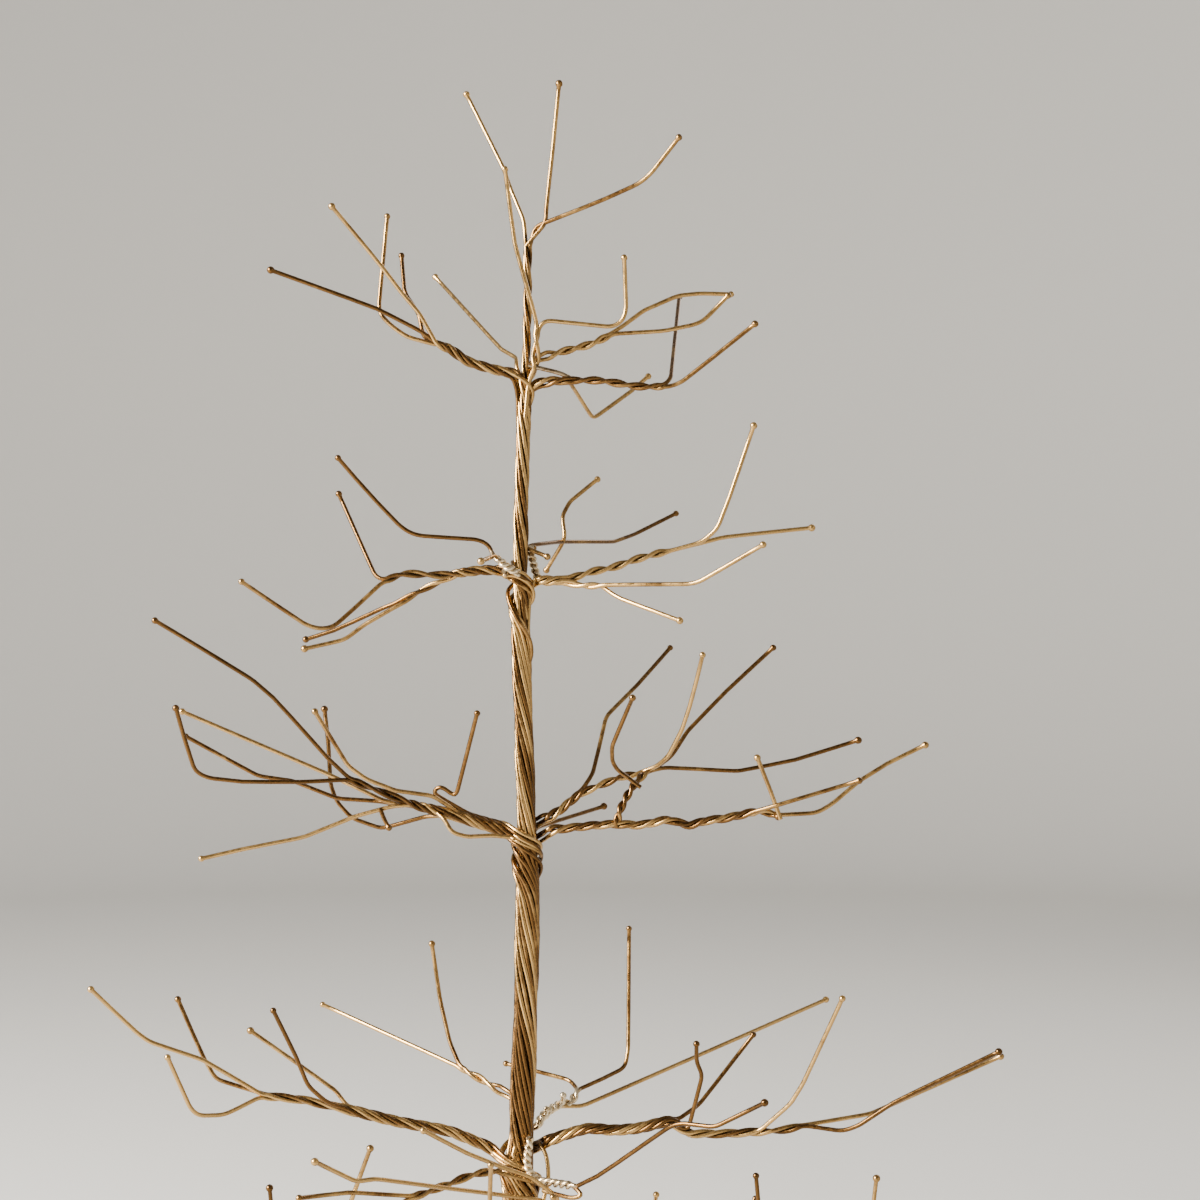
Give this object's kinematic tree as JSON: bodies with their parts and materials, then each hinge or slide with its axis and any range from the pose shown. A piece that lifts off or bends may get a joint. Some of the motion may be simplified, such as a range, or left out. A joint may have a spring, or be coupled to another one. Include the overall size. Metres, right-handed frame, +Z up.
{
  "type": "wire tree sculpture",
  "caption": "Standing tree sculpture of twisted brass wires, with tiers of forked branches whose ends are melted balls, on a low round base.",
  "frame": {"origin": "centre of the base's underside, on the surface that the sculpture stands on", "axes": "+Z up along the trunk, +X to the right of the picture's view, +Y to the back"},
  "size_m": [0.4484, 0.2504, 0.7913],
  "materials": {
    "brass_wire": "satin, lightly antiqued",
    "base": "dark patinated, satin"
  },
  "bodies": {
    "root": {"base": "base", "trunk": "brass_wire", "crown": "brass_wire", "left_branch_2": "brass_wire", "rear_twig_2": "brass_wire", "upright_branch_2": "brass_wire", "upper_right_branch_2": "brass_wire", "lower_right_branch_2": "brass_wire", "left_branch_3": "brass_wire", "upper_left_branch_3": "brass_wire", "right_branch_3": "brass_wire", "rear_branch_3": "brass_wire", "left_branch_4": "brass_wire", "right_branch_4": "brass_wire", "upper_right_branch_4": "brass_wire", "rear_twig_4": "brass_wire", "left_branch_5": "brass_wire", "upper_left_branch_5": "brass_wire", "front_wire_5": "brass_wire", "long_front_wire_5": "brass_wire", "front_left_branch_5": "brass_wire", "rear_right_branch_5": "brass_wire", "right_branch_5": "brass_wire", "front_right_branch_5": "brass_wire", "left_branch_6": "brass_wire", "rear_left_branch_6": "brass_wire", "front_left_branch_6": "brass_wire", "rear_right_branch_6": "brass_wire", "right_branch_6": "brass_wire", "front_right_branch_6": "brass_wire"}
  },
  "joints": []
}
